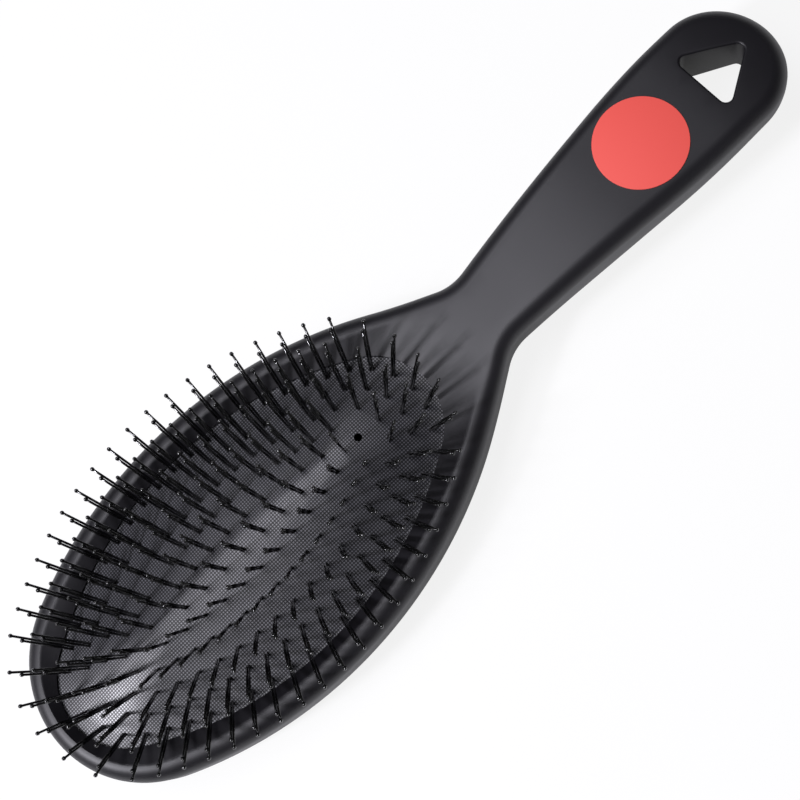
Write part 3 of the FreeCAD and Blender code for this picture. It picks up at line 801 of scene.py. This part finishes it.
soft_touch = finish("soft_touch_plastic", {"Base Color": (0.006, 0.0055, 0.0075, 1), "IOR": 1.5}, velvety)
film = finish("label_film", {"Base Color": (0.82, 0.09, 0.07, 1), "Roughness": 0.6})
GLOSS = {"Roughness": 0.12, "Specular IOR Level": 0.8}
nylon = finish("pin_plastic", {"Base Color": (0.001, 0.001, 0.001, 1), **GLOSS})
moulding.data.materials.append(soft_touch)
print("finishes:", [one.name for one in (soft_touch, film, nylon)])

# %% [markdown]
# The rubber has a woven look: its skin is covered by rows of tiny raised dots, each about 0.6 mm from the next.
# As geometry they would be tens of thousands of bumps, so the material makes them. Two waves across each
# other are the dots' relief, painted light and shade that make the dots a lighter grey and the valleys between
# them near black, and the places where a silky coat lies, so that the crown of the cushion shines in dots and
# not as one patch.

# %% Finish of the cushion
DOT_PITCH = 0.62
# Painted light and shade: near black in the valleys between the dots, a lighter grey on the dots.
SHADED_VALLEY, LIT_DOT = (0.005, 0.005, 0.006, 1), (0.08, 0.08, 0.095, 1)
VALLEY_COAT = 0.15
SHEEN = {"Coat Roughness": 0.36, "Coat IOR": 1.9}


def woven_with_painted_shade(nodes):
    """Rows of tiny raised dots, lighter with painted light on the dots and darker with painted shade in the
    valleys.
    """
    place = object_place(nodes)
    turn = 2 * math.pi / (DOT_PITCH * MM)
    waves = []
    for axis in ("X", "Y"):
        across = nodes.add("ShaderNodeSeparateXYZ", values={"Vector": place}, output=axis)
        waves.append((across * turn).maths("COSINE"))
    dots = (waves[0] * 0.5 + 0.5) * (waves[1] * 0.5 + 0.5)
    relief = nodes.add("ShaderNodeBump", values={"Height": dots, "Strength": 1.0, "Distance": RELIEF_DEPTH})
    # The base colour follows the relief: painted shade in the valleys, painted light on the dots.
    light_and_shade_colour = nodes.add("ShaderNodeMix", {"data_type": "RGBA"}, {0: dots, 6: SHADED_VALLEY, 7: LIT_DOT}, output=2)
    coat = VALLEY_COAT + dots * (1 - VALLEY_COAT)
    return {"Base Color": light_and_shade_colour, "Coat Weight": coat, "Normal": relief}


rubber = finish("cushion_rubber", {"Roughness": 0.6, "Specular IOR Level": 0.1, **SHEEN}, woven_with_painted_shade)
cushion.data.materials.append(rubber)
print("dots over the length of the cushion:", round(2 * MOUTH_HALF_LENGTH / DOT_PITCH))

# %% [markdown]
# Now the tree is put to work, once for each ring. A ring's places are a mesh of loose points that carry their
# two directions as attributes, and the tree stands a double pin on each. The result becomes a plain mesh,
# the modifier goes, and the piece takes the place of its CAD node on its own body.

# %% Rings of double pins
for ring in range(len(RING_COUNTS)):
    seats = pin_places(ring)
    mesh = bpy.data.meshes.new("seats_%d" % ring)
    mesh.from_pydata([tuple(c * MM for c in point) for point, _, _ in seats], [], [])
    for name, column in (("up", 1), ("along", 2)):
        ways = mesh.attributes.new(name, "FLOAT_VECTOR", "POINT")
        ways.data.foreach_set("vector", np.array([seat[column] for seat in seats], float).ravel())
    pins = bpy.data.objects.new("double_pins_%d" % ring, mesh)
    bpy.context.scene.collection.objects.link(pins)
    stand = pins.modifiers.new("stand", "NODES")
    stand.node_group = tree
    for name, value in PIN_SIZES.items():
        stand[tree_inputs[name]] = value * MM
    stand[tree_inputs["Finish"]] = nylon
    bpy.context.view_layer.update()
    shown = pins.evaluated_get(bpy.context.evaluated_depsgraph_get())
    pins.data = bpy.data.meshes.new_from_object(shown)
    pins.modifiers.clear()
    print(pins.name, "faces:", len(pins.data.polygons), "double pins:", len(seats))
    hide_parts("pins_ring_%d" % ring)
    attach(pins, "ring_%d" % ring)

# %% [markdown]
# The label is a thin round film that lies where the front of the handle is level. A bevelled cylinder would do,
# but the rows that made the moulding give the same disc, with a fine round on its upper edge.

# %% Label
LABEL_REACH, LABEL_RADIUS, LABEL_THICKNESS, LABEL_EDGE = 126.8, 10.8, 0.25, 0.1
LABEL_SIDES, LABEL_EDGE_STEPS = 96, 4


def make_label():
    """A disc with a slightly rounded upper edge, laid on the handle's front."""
    shell = Shell()
    angles = np.linspace(0, 2 * math.pi, LABEL_SIDES + 1)[:-1]
    rays = np.column_stack([np.cos(angles), np.sin(angles)])
    middle, level = np.array([LABEL_REACH, 0]), front(LABEL_REACH)
    rows = [shell.row(middle + rays * LABEL_RADIUS, level)]
    for angle in np.linspace(0, QUARTER, LABEL_EDGE_STEPS + 1):
        radius = LABEL_RADIUS - LABEL_EDGE * (1 - math.cos(angle))
        height = level + LABEL_THICKNESS - LABEL_EDGE * (1 - math.sin(angle))
        rows.append(shell.row(middle + rays * radius, height))
    shell.bands(rows)
    shell.faces += [tuple(rows[0]), tuple(rows[-1])]
    return shell.mesh_object("round_label", RIGID_SHARP_ANGLE)


label = make_label()
label.data.materials.append(film)
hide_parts("label_disc")
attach(label, "brush")
print("the label lies at %.1f mm" % front(LABEL_REACH))

# %% [markdown]
# The brush lies on its back on a pale floor. The floor looks white, but only to the camera, and in part to
# reflections: Light Path picks a glow for those rays, and a matt surface that keeps the brush's shadow for
# all others. It lies a hair's breadth under the brush, so that the two faces don't flicker into each other.

# %% Floor
FLOOR_HALF_SIZE, FLOOR_HEIGHT = 4.0, -0.00005
WHITE_TO_CAMERA, WHITE_TO_REFLECTIONS = 0.86, 0.4
WHITE = (1, 1, 1, 1)


def make_floor():
    """A wide floor that keeps the brush's shadow and looks white to the camera."""
    mesh = bpy.data.meshes.new("floor")
    sides = ((-1, -1), (1, -1), (1, 1), (-1, 1))
    corners = [(x * FLOOR_HALF_SIZE, y * FLOOR_HALF_SIZE, FLOOR_HEIGHT) for x, y in sides]
    mesh.from_pydata(corners, [], [(0, 1, 2, 3)])
    floor = bpy.data.objects.new("floor", mesh)
    bpy.context.scene.collection.objects.link(floor)
    made = bpy.data.materials.new("pale_floor")
    made.use_nodes = True
    nodes = Nodes(made.node_tree)
    matt = nodes.add("ShaderNodeBsdfDiffuse", values={"Color": (0.9, 0.9, 0.9, 1)})
    glow = nodes.add("ShaderNodeEmission", values={"Color": WHITE, "Strength": 1.0})
    seen = nodes.add("ShaderNodeLightPath", output="Is Camera Ray") * WHITE_TO_CAMERA
    for name in ("Is Glossy Ray", "Is Transmission Ray"):
        reflected = nodes.add("ShaderNodeLightPath", output=name) * WHITE_TO_REFLECTIONS
        seen = seen.maths("MAXIMUM", reflected)
    mixed = nodes.add("ShaderNodeMixShader", values={0: seen, 1: matt, 2: glow})
    nodes.add("ShaderNodeOutputMaterial", values={"Surface": mixed})
    floor.data.materials.append(made)
    return floor


floor = make_floor()
print("the floor lies at %.2f mm" % (FLOOR_HEIGHT / MM))

# %% [markdown]
# A long soft lamp overhead gives the handle and the crown their sheen. A small one beyond the head end makes
# the pins' shadows, and a weak one at the side keeps the near wall from going black. Together with a dim
# world they light the brush at a level where a colour renders about as it is written.

# %% Lamps and world
LAMP_COLOUR = (0.93, 0.92, 1)
WORLD_LIGHT, WORLD_TO_CAMERA = 0.05, 1.0


def lamp(name, place, aim, size, watts):
    """A soft rectangular lamp."""
    light = bpy.data.lights.new(name, "AREA")
    light.color = LAMP_COLOUR
    light.shape, light.size, light.size_y, light.energy = "RECTANGLE", size[0], size[1], watts
    made = bpy.data.objects.new(name, light)
    made.location = place
    made.rotation_euler = (Vector(place) - Vector(aim)).to_track_quat("Z", "Y").to_euler()
    bpy.context.scene.collection.objects.link(made)


lamp("overhead", (-0.13, 0.2, 0.98), (0.02, 0, 0), (0.84, 0.26), 6)
lamp("head end", (-0.66, 0.1, 0.72), (0, 0, 0), (0.14, 0.14), 9)
lamp("side", (0.3, -1.2, 0.7), (0.05, 0, 0), (0.8, 0.8), 0.6)

world = bpy.data.worlds.new("studio")
bpy.context.scene.world = world
world.use_nodes = True
sky = Nodes(world.node_tree)
seen = sky.add("ShaderNodeLightPath", output="Is Camera Ray")
dim = sky.add("ShaderNodeBackground", values={"Color": WHITE, "Strength": WORLD_LIGHT})
bright = sky.add("ShaderNodeBackground", values={"Color": WHITE, "Strength": WORLD_TO_CAMERA})
both = sky.add("ShaderNodeMixShader", values={0: seen, 1: dim, 2: bright})
sky.add("ShaderNodeOutputWorld", values={"Surface": both})

# %% [markdown]
# The camera looks down on the brush from the right of its head, as in the photograph. Its place and its three
# directions were worked out from the outline, the hole and the tips of the pins in the picture.

# %% Camera
CAMERA_PLACE = (0.05315, -0.08888, 0.34411)
CAMERA_RIGHT = (0.70736, -0.68025, -0.19208)
CAMERA_UP = (0.70674, 0.68543, 0.17521)
CAMERA_BACKWARD = (0.01247, -0.25969, 0.96561)
LENS = 67.5

camera_data = bpy.data.cameras.new("camera")
camera_data.lens = LENS
camera = bpy.data.objects.new("camera", camera_data)
turned = Matrix((CAMERA_RIGHT, CAMERA_UP, CAMERA_BACKWARD)).transposed().to_4x4()
camera.matrix_world = Matrix.Translation(CAMERA_PLACE) @ turned
bpy.context.scene.collection.objects.link(camera)
bpy.context.scene.camera = camera
bpy.context.scene.view_settings.view_transform = "Standard"
print("camera with a lens of %.1f mm, %.0f mm above the floor" % (LENS, CAMERA_PLACE[2] / MM))

# %% [markdown]
# At the end, the view layer is brought up to date.

# %% Last update
bpy.context.view_layer.update()
